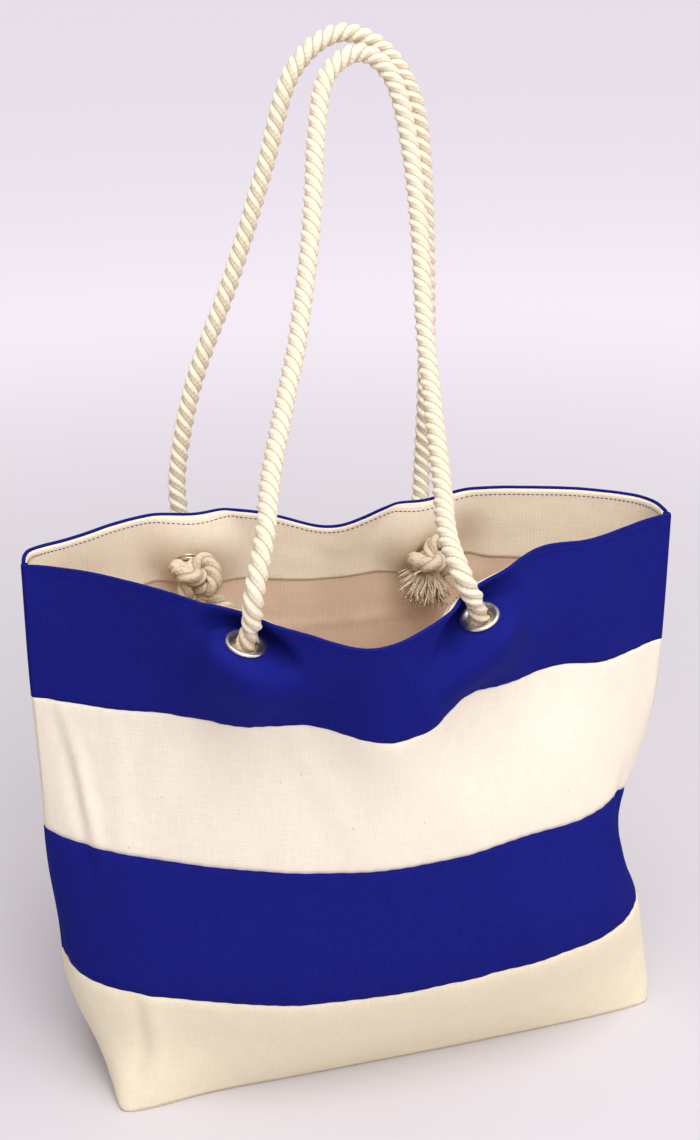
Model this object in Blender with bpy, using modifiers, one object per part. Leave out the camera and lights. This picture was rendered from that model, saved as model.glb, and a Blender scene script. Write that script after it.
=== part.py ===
"""Striped canvas beach tote with twisted rope handles, as separate sewn, set and knotted pieces.

Metres, +Z up. The origin is the middle of the flat bottom. +X runs along the wide panels, the front
panel faces -Y, and both handles stand up from their eyelets.
"""

import math

import bmesh
import bpy
import numpy as np
from mathutils import Matrix, Vector

# Cloth as it was cut
PANEL_HEIGHT = 0.406
STRIPE = PANEL_HEIGHT / 4
FACING_HEIGHT = 0.058
CANVAS = 0.0018
LINING = 0.0012
LAYER_GAP = 0.0013
FACING_GAP = 0.0080
GAP = 0.0012

# The bag as it stands. Each row is one level of the loft, from the rim down to the bottom.
LEVEL_FIELDS = (
    "drop height turn centre_x centre_y half_width seam_gap "
    "front_depth front_power front_fold front_sag back_depth back_power back_sag"
).split()
LEVELS = (
    (0.000, 0.396, -6.2, -0.004, -0.0055, 0.2345, 0.0046, 0.143, 1.50, 0.000, 0.022, 0.103, 0.35, 0.018),
    (0.250, 0.295, -5.8, -0.005, -0.0030, 0.2345, 0.0036, 0.116, 1.15, 0.010, 0.008, 0.105, 0.33, 0.008),
    (0.500, 0.195, -3.7, -0.004, -0.0020, 0.2320, 0.0030, 0.117, 0.65, 0.003, 0.005, 0.108, 0.30, 0.004),
    (0.750, 0.096, -0.8, -0.002, -0.0005, 0.2200, 0.0022, 0.120, 0.32, 0.000, 0.006, 0.105, 0.24, 0.004),
    (0.875, 0.047, 0.0, 0.000, 0.0000, 0.2090, 0.0014, 0.099, 0.20, 0.000, 0.003, 0.092, 0.18, 0.002),
    (1.000, 0.000, 0.0, 0.000, 0.0000, 0.2000, 0.0008, 0.075, 0.03, 0.000, 0.000, 0.075, 0.03, 0.000),
)
FOLD_WIDTH = 0.035
SAG_SHARE = {"front": 0.45, "back": 0.30}
BASE_HALF = (0.2000, 0.0750)
BASE_CORNER = 0.012
LINING_INSET = (0.0045, 0.0080)

# Eyelets: the cloth distance from the middle of the panel to each, where its middle stands, and the way
# its face looks. The pull of the rope has turned the front ones upwards.
EYELET_DROP = 0.040
EYELETS = {
    ("front", "left"): (-0.104, (-0.1070, -0.1010, 0.3655), (0.20, -0.29, 0.88)),
    ("front", "right"): (0.076, (0.0530, -0.1100, 0.3665), (-0.32, -0.24, 0.88)),
    ("back", "left"): (-0.112, (-0.1055, 0.1030, 0.3500), (0.16, 0.86, 0.44)),
    ("back", "right"): (0.078, (0.0835, 0.0900, 0.3450), (-0.16, 0.86, 0.44)),
}
# Where the rope and its knots push the cloth: side, cloth distances across and down, push and width.
PUSHES = (
    ("front", 0.076, 0.020, (0.0, 0.024, 0.005), 0.055),
    ("front", -0.104, 0.064, (0.0, -0.030, 0.0), 0.042),
    ("front", 0.076, 0.064, (0.0, -0.032, 0.0), 0.042),
    ("back", -0.112, 0.060, (0.0, 0.008, 0.0), 0.042),
    ("back", 0.078, 0.060, (0.0, 0.010, 0.0), 0.042),
)
PATCH_FLAT = 0.022
PATCH_FADE = 0.058
FLANGE_RADIUS = 0.01425
BORE_RADIUS = 0.0080
BARREL_WALL = 0.0006
WASHER_RADIUS = 0.0135
EYELET_STEPS = 16

# Rope
ROPE = 0.014
PIVOT_RISE = 0.018
BALL_GAP = 0.0004
KNOT_RADIUS = 0.0160
ROUTE_STEP = 0.030
FRONT_ROUTE = (
    (-0.1010, -0.108, 0.405), (-0.0880, -0.088, 0.437), (-0.074, -0.050, 0.463), (-0.050, 0.000, 0.500),
    (-0.031, 0.035, 0.534), (-0.006, 0.085, 0.600), (0.010, 0.125, 0.658), (0.026, 0.150, 0.699),
    (0.055, 0.158, 0.714), (0.077, 0.150, 0.695), (0.083, 0.130, 0.650), (0.079, 0.095, 0.592),
    (0.067, 0.045, 0.521), (0.051, -0.035, 0.446), (0.040, -0.080, 0.419), (0.039, -0.111, 0.402),
)
BACK_ROUTE = (
    (-0.106, 0.130, 0.390), (-0.102, 0.138, 0.423), (-0.085, 0.145, 0.482), (-0.052, 0.152, 0.555),
    (-0.021, 0.160, 0.634), (0.004, 0.169, 0.700), (0.042, 0.177, 0.727), (0.078, 0.176, 0.714),
    (0.100, 0.171, 0.677), (0.106, 0.166, 0.625), (0.104, 0.154, 0.526), (0.099, 0.144, 0.449),
    (0.092, 0.134, 0.392),
)

# Colours, linear
NAVY = (0.012, 0.016, 0.190)
CREAM = (0.800, 0.720, 0.600)
LINING_BEIGE = (0.640, 0.500, 0.360)
COTTON = (0.820, 0.740, 0.600)
NICKEL = (0.700, 0.680, 0.640)
STRIPES = (("top_band", NAVY), ("upper_cream", CREAM), ("lower_band", NAVY), ("bottom_cream", CREAM))

for old in list(bpy.data.objects):
    bpy.data.objects.remove(old, do_unlink=True)


def collection(name):
    made = bpy.data.collections.new(name)
    bpy.context.scene.collection.children.link(made)
    return made


PARTS = collection("beach_bag")
CUTTERS = collection("cutters")


def material(name, colour, roughness, metallic=0.0):
    made = bpy.data.materials.new(name)
    made.use_nodes = True
    shader = made.node_tree.nodes["Principled BSDF"]
    shader.inputs["Base Color"].default_value = (*colour, 1.0)
    shader.inputs["Roughness"].default_value = roughness
    shader.inputs["Metallic"].default_value = metallic
    return made


def new_object(name, mesh, finish=None, place=PARTS):
    made = bpy.data.objects.new(name, mesh)
    place.objects.link(made)
    if finish:
        mesh.materials.clear()
        mesh.materials.append(finish)
    return made


# The loft that every sewn piece follows


def smooth_between(places, values, at):
    """Cubic interpolation through the values, with each slope taken from its neighbours."""
    slopes = np.gradient(values, places)
    k = int(np.clip(np.searchsorted(places, at, side="right") - 1, 0, len(places) - 2))
    width = places[k + 1] - places[k]
    t = (at - places[k]) / width
    rise = t * t * (3 - 2 * t)
    start = t * (1 - t) ** 2 * width * slopes[k]
    end = t * t * (t - 1) * width * slopes[k + 1]
    return values[k] + rise * (values[k + 1] - values[k]) + start + end


def level(drop):
    table = np.array(LEVELS)
    places = table[:, 0]
    return {name: float(smooth_between(places, table[:, i], drop)) for i, name in enumerate(LEVEL_FIELDS)}


def section(at, side, count=240):
    """Half of a level, from the left seam to the right one: distances across and out from the chord."""
    angle = np.linspace(0.0, math.pi, count)
    lift = np.abs(np.sin(angle))
    share = np.arccos(np.clip(lift ** (1 / at[side + "_power"]), 0, 1)) * 2 / math.pi
    share *= np.where(angle < math.pi / 2, -1.0, 1.0)
    across = share * at["half_width"]
    out = at["seam_gap"] + (at[side + "_depth"] - at["seam_gap"]) * lift
    if side == "front":
        out = out + at["front_fold"] * np.exp(-((across / FOLD_WIDTH) ** 2))
    return across, out, share


def cloth_width(side):
    across, out, _ = section(level(0.0), side)
    return float(np.hypot(np.diff(across), np.diff(out)).sum())


def level_points(side, drop, places):
    """Points of the bare loft, without eyelets, at cloth places across the panel from -1 to 1."""
    at = level(drop)
    across, out, share = section(at, side)
    run = np.concatenate([[0.0], np.cumsum(np.hypot(np.diff(across), np.diff(out)))])
    wanted = (np.asarray(places) + 1) / 2 * run[-1]
    x = np.interp(wanted, run, across)
    y = np.interp(wanted, run, out) * (-1.0 if side == "front" else 1.0)
    s = np.interp(wanted, run, share)
    z = at["height"] - at[side + "_sag"] * np.exp(-((s / SAG_SHARE[side]) ** 2))
    turn = math.radians(at["turn"])
    wx = at["centre_x"] + x * math.cos(turn) - y * math.sin(turn)
    wy = at["centre_y"] + x * math.sin(turn) + y * math.cos(turn)
    return np.stack([wx, wy, z], axis=-1)


def bare_point(side, place, drop):
    return Vector(level_points(side, drop, [place])[0])


def eyelet_frame(side, hand):
    """Centre, across, up and outward directions of one eyelet."""
    half = cloth_width(side) / 2
    distance, centre, look = EYELETS[side, hand]
    place = distance / half
    drop = EYELET_DROP / PANEL_HEIGHT
    step = 0.002 / half
    along = (bare_point(side, place + step, drop) - bare_point(side, place - step, drop)).normalized()
    normal = Vector(look).normalized()
    across = (along - normal * along.dot(normal)).normalized()
    rise = normal.cross(across) if side == "front" else across.cross(normal)
    return Vector(centre), across, rise, normal


HANDS = {"left": -1, "right": 1}
FRAMES = {(side, hand): eyelet_frame(side, hand) for side, hand in EYELETS}


def fade(distance):
    t = np.clip((PATCH_FADE - distance) / (PATCH_FADE - PATCH_FLAT), 0, 1)
    return t * t * (3 - 2 * t)


def panel_grid(side, places, drops):
    """Cloth surface with the flat patch round each eyelet, as an array of rows of points."""
    half = cloth_width(side) / 2
    grid = np.array([level_points(side, drop, places) for drop in drops])
    for owner, far, down, push, width in PUSHES:
        if owner == side:
            right = np.asarray(places)[None, :] * half - far
            below = np.asarray(drops)[:, None] * PANEL_HEIGHT - down
            grid = grid + np.exp(-(right**2 + below**2) / width**2)[..., None] * np.array(push)
    for hand in HANDS:
        centre, across, rise, _ = (np.array(v) for v in FRAMES[side, hand])
        right = np.asarray(places)[None, :] * half - EYELETS[side, hand][0]
        above = EYELET_DROP - np.asarray(drops)[:, None] * PANEL_HEIGHT
        weight = fade(np.hypot(right, above))[..., None]
        flat = centre + right[..., None] * across + above[..., None] * rise
        grid = grid * (1 - weight) + flat * weight
    return grid


def cloth_object(name, side, places, drops, inset, thickness, finish):
    """A closed piece of cloth: the loft, with its thickness set inwards past the layers outside it."""
    grid = panel_grid(side, places, drops)
    if side == "back":
        grid = grid[:, ::-1]
    shape = bmesh.new()
    rows = [[shape.verts.new(point) for point in row] for row in grid]
    for upper, lower in zip(rows, rows[1:]):
        for k in range(len(upper) - 1):
            shape.faces.new((upper[k], lower[k], lower[k + 1], upper[k + 1]))
    mesh = bpy.data.meshes.new(name)
    shape.to_mesh(mesh)
    shape.free()
    made = new_object(name, mesh, finish)
    shell = made.modifiers.new("thickness", "SOLIDIFY")
    shell.thickness = thickness
    shell.offset = -1 - 2 * inset / thickness
    shell.use_even_offset = True
    return made


# Rows and columns of the cloth


EYELET_STEPS_ACROSS = (0.0155, 0.0215, 0.0285, 0.037, 0.047, 0.057)


def cloth_places(side, steps=EYELET_STEPS_ACROSS):
    """Columns close together round the eyelets and wide apart elsewhere."""
    half = cloth_width(side) / 2
    near = [EYELETS[side, hand][0] + sign * step for hand in HANDS for step in steps for sign in (-1, 1)]
    far = [sign * place for place in (0.006, 0.160, 0.178, 0.190, 0.202, 0.214, 0.230, 0.250) for sign in (-1, 1)]
    far = [place for place in far if min(abs(place - other) for other in near) > 0.006]
    return [-1.0] + sorted(place / half for place in near + far) + [1.0]


def even(start, stop, count):
    return list(np.linspace(start, stop, count))


def drops_of(distances):
    return [distance / PANEL_HEIGHT for distance in distances]


FINE_DROPS = (0.0, 0.006, 0.012, 0.0185, 0.0245, 0.0555, 0.058, 0.064, 0.070, 0.078, 0.088)
STRIPE_DROPS = even(0.25, 0.9375, 10)
FLOOR_DROP = 1 - 0.0023 / PANEL_HEIGHT
LINING_FLOOR_DROP = 1 - 0.0065 / PANEL_HEIGHT


def make_outer_panels(side):
    half_gap = GAP / 2
    for k, (stripe, colour) in enumerate(STRIPES):
        name = f"{side}_{stripe}"
        finish = material(name, colour, 0.85)
        top = k * STRIPE + (half_gap if k else 0.0)
        bottom = (k + 1) * STRIPE - half_gap
        if k == 0:
            cloth_object(name, side, cloth_places(side), drops_of(FINE_DROPS + (bottom,)), 0.0, CANVAS, finish)
            continue
        last = min(bottom / PANEL_HEIGHT, FLOOR_DROP)
        rows = [top / PANEL_HEIGHT] + [drop for drop in STRIPE_DROPS if k / 4 < drop < (k + 1) / 4] + [last]
        cloth_object(name, side, cloth_places(side, EYELET_STEPS_ACROSS[::2]), rows, 0.0, CANVAS, finish)


def make_inner_panels(side):
    inset = CANVAS + LAYER_GAP
    facing = [0.0015] + [distance for distance in FINE_DROPS if 0 < distance <= FACING_HEIGHT]
    cloth_object(
        f"{side}_facing", side, cloth_places(side), drops_of(facing), inset, LINING, material(f"{side}_facing", CREAM, 0.9)
    )
    below = [distance for distance in FINE_DROPS if distance > FACING_HEIGHT + FACING_GAP]
    rows = drops_of(below) + STRIPE_DROPS + [LINING_FLOOR_DROP]
    cloth_object(
        f"{side}_lining", side, cloth_places(side), rows, inset, LINING, material(f"{side}_lining", LINING_BEIGE, 0.95)
    )


def plate(name, half_x, half_y, low, high, corner, finish):
    bpy.ops.mesh.primitive_cube_add(size=1.0)
    made = bpy.context.active_object
    for owner in list(made.users_collection):
        owner.objects.unlink(made)
    PARTS.objects.link(made)
    made.name = name
    made.data.name = name
    made.data.transform(
        Matrix.Translation((0, 0, (low + high) / 2)) @ Matrix.Diagonal((2 * half_x, 2 * half_y, high - low, 1))
    )
    shape = bmesh.new()
    shape.from_mesh(made.data)
    upright = [e for e in shape.edges if abs(e.verts[0].co.z - e.verts[1].co.z) > (high - low) / 2]
    bmesh.ops.bevel(
        shape, geom=upright, offset=corner, offset_type="OFFSET", affect="EDGES", segments=3, profile=0.5, material=-1
    )
    shape.to_mesh(made.data)
    shape.free()
    made.data.materials.append(finish)
    return made


def make_bottoms():
    plate("bottom_panel", *BASE_HALF, 0.0, CANVAS, BASE_CORNER, material("bottom_panel", CREAM, 0.85))
    plate(
        "bottom_lining",
        BASE_HALF[0] - LINING_INSET[0],
        BASE_HALF[1] - LINING_INSET[1],
        CANVAS + LAYER_GAP,
        CANVAS + LAYER_GAP + LINING,
        BASE_CORNER,
        material("bottom_lining", LINING_BEIGE, 0.95),
    )


SEAM_INSET = 0.0058
SEAM_WIDTH = 0.0090
SEAM_THICKNESS = 0.0010
SEAM_DROPS = (0.006, 0.12, 0.25, 0.38, 0.50, 0.62, 0.75, 0.87, 0.982)


def make_side_seam(hand, sign):
    """The raw seam allowance that stands inside along one side of the bag."""
    name = f"{hand}_side_seam"
    shape = bmesh.new()
    pairs = []
    for drop in SEAM_DROPS:
        at = level(drop)
        turn = math.radians(at["turn"])
        chord = Vector((math.cos(turn), math.sin(turn), 0))
        middle = Vector((at["centre_x"], at["centre_y"], at["height"]))
        outer = middle + sign * (at["half_width"] - SEAM_INSET) * chord
        inner = middle + sign * (at["half_width"] - SEAM_INSET - SEAM_WIDTH) * chord
        pairs.append((shape.verts.new(outer), shape.verts.new(inner)))
    for (a, b), (c, d) in zip(pairs, pairs[1:]):
        shape.faces.new((a, b, d, c))
    mesh = bpy.data.meshes.new(name)
    shape.to_mesh(mesh)
    shape.free()
    made = new_object(name, mesh, material(name, CREAM, 0.95))
    shell = made.modifiers.new("thickness", "SOLIDIFY")
    shell.thickness = SEAM_THICKNESS
    shell.offset = 0


# Eyelets and washers


def eyelet_matrix(side, hand):
    centre, across, _, normal = FRAMES[side, hand]
    third = normal.cross(across)
    return Matrix.Translation(centre) @ Matrix((across, third, normal)).transposed().to_4x4()


def turned(name, outline, matrix, finish):
    """A closed outline of radius and height pairs, turned about its own axis."""
    shape = bmesh.new()
    corners = [shape.verts.new((radius, 0, height)) for radius, height in reversed(outline)]
    edges = [shape.edges.new(pair) for pair in zip(corners, corners[1:] + corners[:1])]
    mesh = bpy.data.meshes.new(name)
    shape.to_mesh(mesh)
    shape.free()
    made = new_object(name, mesh, finish)
    made.matrix_world = matrix
    turn = made.modifiers.new("turn", "SCREW")
    turn.steps = turn.render_steps = EYELET_STEPS
    turn.use_merge_vertices = True
    turn.merge_threshold = 0.00005
    return made


STACK = CANVAS + LAYER_GAP + LINING
WASHER_TOP = -STACK - 0.0006
WASHER_BOTTOM = WASHER_TOP - 0.0008
CLINCH_TOP = WASHER_BOTTOM - 0.0003
EYELET_OUTLINE = (
    (BORE_RADIUS, -0.0040),
    (BORE_RADIUS + 0.0010, CLINCH_TOP - 0.0010),
    (0.0108, CLINCH_TOP - 0.0008),
    (0.0108, CLINCH_TOP),
    (BORE_RADIUS + BARREL_WALL, CLINCH_TOP),
    (BORE_RADIUS + BARREL_WALL, 0.0003),
    (FLANGE_RADIUS, 0.0003),
    (FLANGE_RADIUS, 0.0016),
    (FLANGE_RADIUS - 0.0009, 0.0024),
    (FLANGE_RADIUS - 0.0022, 0.0016),
    (BORE_RADIUS + 0.0012, 0.0010),
    (BORE_RADIUS, 0.0002),
)
WASHER_OUTLINE = (
    (0.0092, WASHER_BOTTOM),
    (WASHER_RADIUS, WASHER_BOTTOM),
    (WASHER_RADIUS, WASHER_TOP),
    (0.0092, WASHER_TOP),
)


def make_eyelet(side, hand):
    matrix = eyelet_matrix(side, hand)
    turned(f"{side}_{hand}_eyelet", EYELET_OUTLINE, matrix, material(f"{side}_{hand}_eyelet", NICKEL, 0.25, 1.0))
    turned(f"{side}_{hand}_washer", WASHER_OUTLINE, matrix, material(f"{side}_{hand}_washer", NICKEL, 0.3, 1.0))


def cut_hole(side, hand):
    bpy.ops.mesh.primitive_cylinder_add(vertices=EYELET_STEPS, radius=BORE_RADIUS + 0.0011, depth=0.016)
    cutter = bpy.context.active_object
    for owner in list(cutter.users_collection):
        owner.objects.unlink(cutter)
    CUTTERS.objects.link(cutter)
    cutter.name = f"cut_{side}_{hand}"
    cutter.matrix_world = eyelet_matrix(side, hand)
    cutter.hide_render = True
    cutter.display_type = "WIRE"
    for layer in (f"{side}_top_band", f"{side}_facing"):
        hole = bpy.data.objects[layer].modifiers.new(f"hole_{hand}", "BOOLEAN")
        hole.operation = "DIFFERENCE"
        hole.solver = "EXACT"
        hole.object = cutter


# Rope


def pivot(side, hand):
    centre, _, _, normal = FRAMES[side, hand]
    return centre + PIVOT_RISE * normal


def smooth_route(route, step):
    """Points an even step apart along a smooth curve through the route."""
    points = [Vector(p) for p in route]
    ends = [2 * points[0] - points[1]] + points + [2 * points[-1] - points[-2]]
    fine = []
    for a, b, c, d in zip(ends, ends[1:], ends[2:], ends[3:]):
        for k in range(16):
            t = k / 16
            fine.append(
                0.5 * (2 * b + (c - a) * t + (2 * a - 5 * b + 4 * c - d) * t**2 + (3 * b - a - 3 * c + d) * t**3)
            )
    fine.append(points[-1])
    run = np.concatenate([[0.0], np.cumsum([(q - p).length for p, q in zip(fine, fine[1:])])])
    count = max(2, round(run[-1] / step) + 1)
    wanted = np.linspace(0.0, run[-1], count)
    rows = np.array([tuple(p) for p in fine])
    return [Vector(np.interp(w, run, rows[:, k]) for k in range(3)) for w in wanted]


def rope_curve(name, points, radii, finish, origin=Vector((0, 0, 0))):
    curve = bpy.data.curves.new(name, "CURVE")
    curve.dimensions = "3D"
    curve.bevel_depth = ROPE / 2
    curve.bevel_resolution = 2
    curve.use_fill_caps = True
    spline = curve.splines.new("POLY")
    spline.points.add(len(points) - 1)
    for target, point, radius in zip(spline.points, points, radii):
        target.co = (*(point - origin), 1.0)
        target.radius = radius / (ROPE / 2)
    made = bpy.data.objects.new(name, curve)
    made.location = origin
    PARTS.objects.link(made)
    curve.materials.append(finish)
    return made


BALL_STEPS = (0.98, 0.84, 0.6, 0.3)


def make_handle(side, route):
    """The rope outside the bag, with a round end on each of the two points that it swings about."""
    start, end = pivot(side, "left"), pivot(side, "right")
    points = smooth_route((start, *route, end), ROUTE_STEP)
    first = (points[1] - points[0]).normalized()
    last = (points[-2] - points[-1]).normalized()
    radius = ROPE / 2
    head = [start - first * radius * k for k in BALL_STEPS]
    tail = [end - last * radius * k for k in reversed(BALL_STEPS)]
    round_off = [radius * math.sqrt(1 - k * k) for k in BALL_STEPS]
    radii = round_off + [radius] * len(points) + round_off[::-1]
    finish = material(f"{side}_handle_rope", COTTON, 0.9)
    rope_curve(f"{side}_handle_rope", head + points + tail, radii, finish, origin=start)


KNOT_TAILS = {
    ("front", "left"): ((0.006, 0.004, -0.018), (0.010, 0.006, -0.036)),
    ("front", "right"): ((-0.004, 0.006, -0.018), (-0.006, 0.010, -0.036)),
    ("back", "left"): ((0.018, -0.004, -0.016), (0.034, -0.006, -0.030)),
    ("back", "right"): ((0.002, -0.004, -0.020), (0.004, -0.006, -0.040)),
}


def make_knot(side, hand):
    """The end of the rope: a stub through the eyelet, the knot behind it and the tail below the knot."""
    centre, _, _, normal = FRAMES[side, hand]
    radius = ROPE / 2
    top = PIVOT_RISE - radius - BALL_GAP
    heights = (top, 0.004, -0.0068, -0.0085, -0.0125, -0.0200, -0.0270, -0.0330)
    radii = [radius, radius, radius, 0.0110, 0.0150, KNOT_RADIUS, 0.0150, 0.0110]
    points = [centre + h * normal for h in heights]
    body = points[-2]
    for offset in KNOT_TAILS[side, hand]:
        points.append(body + Vector(offset) - normal * 0.006)
        radii.append(0.0085)
    rope_curve(f"{side}_{hand}_knot", points, radii, material(f"{side}_{hand}_knot", COTTON, 0.9))


for side in ("front", "back"):
    make_outer_panels(side)
    make_inner_panels(side)
    for hand in HANDS:
        make_eyelet(side, hand)
        cut_hole(side, hand)
        make_knot(side, hand)
make_bottoms()
for hand, sign in HANDS.items():
    make_side_seam(hand, sign)
make_handle("front", FRONT_ROUTE)
make_handle("back", BACK_ROUTE)
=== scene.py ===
"""Striped canvas beach bag with twisted rope handles, dressed in cloth, rope and nickel."""

import math
import random

import bmesh
import bpy
import numpy as np
from bpy.props import FloatProperty, FloatVectorProperty, IntProperty, PointerProperty
from mathutils import Matrix, Vector, noise


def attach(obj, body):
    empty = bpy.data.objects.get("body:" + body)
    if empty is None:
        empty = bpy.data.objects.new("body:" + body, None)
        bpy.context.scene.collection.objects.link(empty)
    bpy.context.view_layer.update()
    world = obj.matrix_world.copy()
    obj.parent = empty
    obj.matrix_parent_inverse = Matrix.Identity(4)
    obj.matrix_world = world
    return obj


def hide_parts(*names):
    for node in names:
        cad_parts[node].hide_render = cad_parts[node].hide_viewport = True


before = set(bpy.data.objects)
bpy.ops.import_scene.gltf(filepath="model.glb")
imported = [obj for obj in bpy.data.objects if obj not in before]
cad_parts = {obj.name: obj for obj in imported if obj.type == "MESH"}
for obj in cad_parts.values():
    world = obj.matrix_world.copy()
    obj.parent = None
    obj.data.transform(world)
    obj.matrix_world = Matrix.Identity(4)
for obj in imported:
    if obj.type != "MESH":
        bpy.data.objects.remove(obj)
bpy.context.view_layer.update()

bl_info = {
    "name": "Striped Beach Bag",
    "version": (1, 0, 0),
    "blender": (4, 5, 0),
    "location": "View3D > Sidebar > Beach Bag",
    "description": "Makes a striped canvas beach bag with rope handles on its frame",
    "category": "Object",
}

# Cloth as it was cut, in metres
PANEL_HEIGHT = 0.406
STRIPE = PANEL_HEIGHT / 4
FACING_HEIGHT = 0.060
CANVAS = 0.0018
LINING = 0.0011
LAYER_GAP = 0.0003
STITCH_GAP = 0.0010
STITCH_WIDTH = 0.00042
STITCH_DROP = 0.0060

# The bag as it stands. Each row is one level of the loft, from the rim down to the bottom.
LEVEL_FIELDS = (
    "drop height turn centre_x centre_y half_width seam_gap "
    "front_depth front_power front_fold front_sag back_depth back_power back_sag"
).split()
LEVELS = (
    (0.000, 0.396, -6.2, -0.004, -0.0055, 0.2345, 0.0046, 0.143, 1.50, 0.000, 0.022, 0.103, 0.35, 0.018),
    (0.250, 0.295, -5.8, -0.005, -0.0030, 0.2345, 0.0036, 0.116, 1.15, 0.010, 0.008, 0.105, 0.33, 0.008),
    (0.500, 0.195, -3.7, -0.004, -0.0020, 0.2320, 0.0030, 0.117, 0.65, 0.003, 0.005, 0.108, 0.30, 0.004),
    (0.750, 0.096, -0.8, -0.002, -0.0005, 0.2200, 0.0022, 0.120, 0.32, 0.000, 0.006, 0.105, 0.24, 0.004),
    (0.875, 0.047, 0.0, 0.000, 0.0000, 0.2090, 0.0014, 0.099, 0.20, 0.000, 0.003, 0.092, 0.18, 0.002),
    (1.000, 0.000, 0.0, 0.000, 0.0000, 0.2000, 0.0008, 0.075, 0.03, 0.000, 0.000, 0.075, 0.03, 0.000),
)
FOLD_WIDTH = 0.035
SAG_SHARE = {"front": 0.45, "back": 0.30}

# Each eyelet: its distance across the cloth, its centre and the way that it faces
EYELET_DROP = 0.040
HOLE_RADIUS = 0.0100
EYELETS = {
    ("front", "left"): (-0.104, (-0.1070, -0.1010, 0.3655), (0.20, -0.29, 0.88)),
    ("front", "right"): (0.076, (0.0530, -0.1100, 0.3665), (-0.32, -0.24, 0.88)),
    ("back", "left"): (-0.112, (-0.1055, 0.1030, 0.3500), (0.16, 0.86, 0.44)),
    ("back", "right"): (0.078, (0.0835, 0.0900, 0.3450), (-0.16, 0.86, 0.44)),
}
# Places where the cloth is pushed off the loft: side, across, down, the push and its radius
PUSHES = (
    ("front", 0.076, 0.020, (0.0, 0.024, 0.005), 0.055),
    ("front", -0.104, 0.064, (0.0, -0.030, 0.0), 0.042),
    ("front", 0.076, 0.064, (0.0, -0.032, 0.0), 0.042),
    ("back", -0.112, 0.060, (0.0, 0.008, 0.0), 0.042),
    ("back", 0.078, 0.060, (0.0, 0.010, 0.0), 0.042),
    ("front", -0.145, 0.1015, (0.0, 0.006, 0.006), 0.045),
    ("front", -0.064, 0.1015, (0.0, 0.014, 0.010), 0.048),
    ("front", 0.070, 0.1015, (0.0, 0.019, 0.015), 0.039),
    ("front", 0.128, 0.1000, (0.0, 0.011, 0.009), 0.045),
    ("front", 0.165, 0.0950, (0.0, 0.004, 0.006), 0.035),
    ("front", 0.010, 0.1050, (0.0, -0.006, 0.003), 0.035),
    ("front", 0.139, 0.0000, (0.0, 0.014, 0.009), 0.045),
    ("front", -0.015, 0.0000, (0.0, 0.0, -0.006), 0.030),
    ("back", 0.000, 0.0000, (0.0, 0.0, -0.009), 0.034),
    ("back", -0.209, 0.0000, (0.0, -0.010, -0.002), 0.040),
    ("front", 0.277, 0.245, (-0.035, 0.0, -0.013), 0.058),
    ("back", 0.278, 0.245, (-0.035, -0.004, -0.013), 0.058),
    ("front", 0.170, 0.203, (0.0, 0.0, -0.008), 0.045),
    ("front", 0.277, 0.203, (0.0, 0.0, -0.012), 0.045),
    ("back", 0.278, 0.203, (0.0, 0.0, -0.012), 0.045),
    ("front", -0.277, 0.240, (-0.005, 0.0, 0.0), 0.050),
    ("back", -0.278, 0.240, (-0.005, 0.0, 0.0), 0.050),
    ("front", -0.277, 0.345, (-0.018, 0.0, 0.0), 0.060),
    ("back", -0.278, 0.345, (-0.018, 0.0, 0.0), 0.060),
    ("front", -0.090, 0.305, (0.0, -0.002, -0.003), 0.070),
    ("front", 0.050, 0.305, (0.0, -0.002, -0.003), 0.080),
    ("front", 0.165, 0.305, (0.0, -0.003, -0.008), 0.060),
    ("front", -0.205, 0.406, (-0.009, -0.010, 0.0), 0.040),
    ("front", 0.240, 0.406, (0.015, 0.0, 0.0), 0.070),
    ("back", 0.240, 0.406, (0.015, 0.0, 0.0), 0.070),
)
# The cloth lies flat round an eyelet as far as the first radius, and is free beyond the second.
PATCH_FLAT = 0.0175
PATCH_FADE = 0.050

# Folds and creases: side, across, down, the way it runs, half length, width and height
FOLDS = (
    ("front", 0.030, 0.085, 80.0, 0.050, 0.010, 0.0035),
    ("front", 0.052, 0.140, 84.0, 0.070, 0.016, 0.0030),
    ("front", 0.010, 0.150, 96.0, 0.060, 0.020, -0.0030),
    ("front", -0.060, 0.120, 60.0, 0.050, 0.012, 0.0020),
    ("front", -0.150, 0.100, 118.0, 0.060, 0.012, 0.0022),
    ("front", -0.200, 0.200, 84.0, 0.100, 0.012, 0.0014),
    ("front", -0.232, 0.168, 72.0, 0.055, 0.006, 0.0028),
    ("front", -0.244, 0.168, 72.0, 0.055, 0.006, -0.0020),
    ("front", -0.197, 0.345, 95.0, 0.045, 0.006, -0.0022),
    ("front", -0.187, 0.345, 95.0, 0.045, 0.007, 0.0018),
    ("front", 0.150, 0.090, 60.0, 0.060, 0.013, 0.0020),
    ("front", 0.205, 0.232, 62.0, 0.030, 0.007, 0.0018),
    ("front", 0.190, 0.250, 70.0, 0.034, 0.009, -0.0016),
    ("front", 0.222, 0.205, 120.0, 0.026, 0.008, -0.0018),
    ("front", -0.080, 0.260, 95.0, 0.080, 0.020, 0.0020),
    ("front", 0.100, 0.300, 88.0, 0.080, 0.022, 0.0022),
    ("front", 0.020, 0.350, 100.0, 0.060, 0.018, -0.0018),
    ("back", 0.000, 0.110, 88.0, 0.080, 0.020, 0.0035),
    ("back", -0.090, 0.200, 100.0, 0.090, 0.022, -0.0030),
    ("back", 0.120, 0.180, 80.0, 0.080, 0.020, 0.0030),
    ("back", 0.040, 0.300, 95.0, 0.080, 0.022, 0.0028),
    ("back", -0.170, 0.110, 70.0, 0.060, 0.014, 0.0025),
    ("back", 0.190, 0.090, 110.0, 0.060, 0.014, -0.0025),
)

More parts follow.
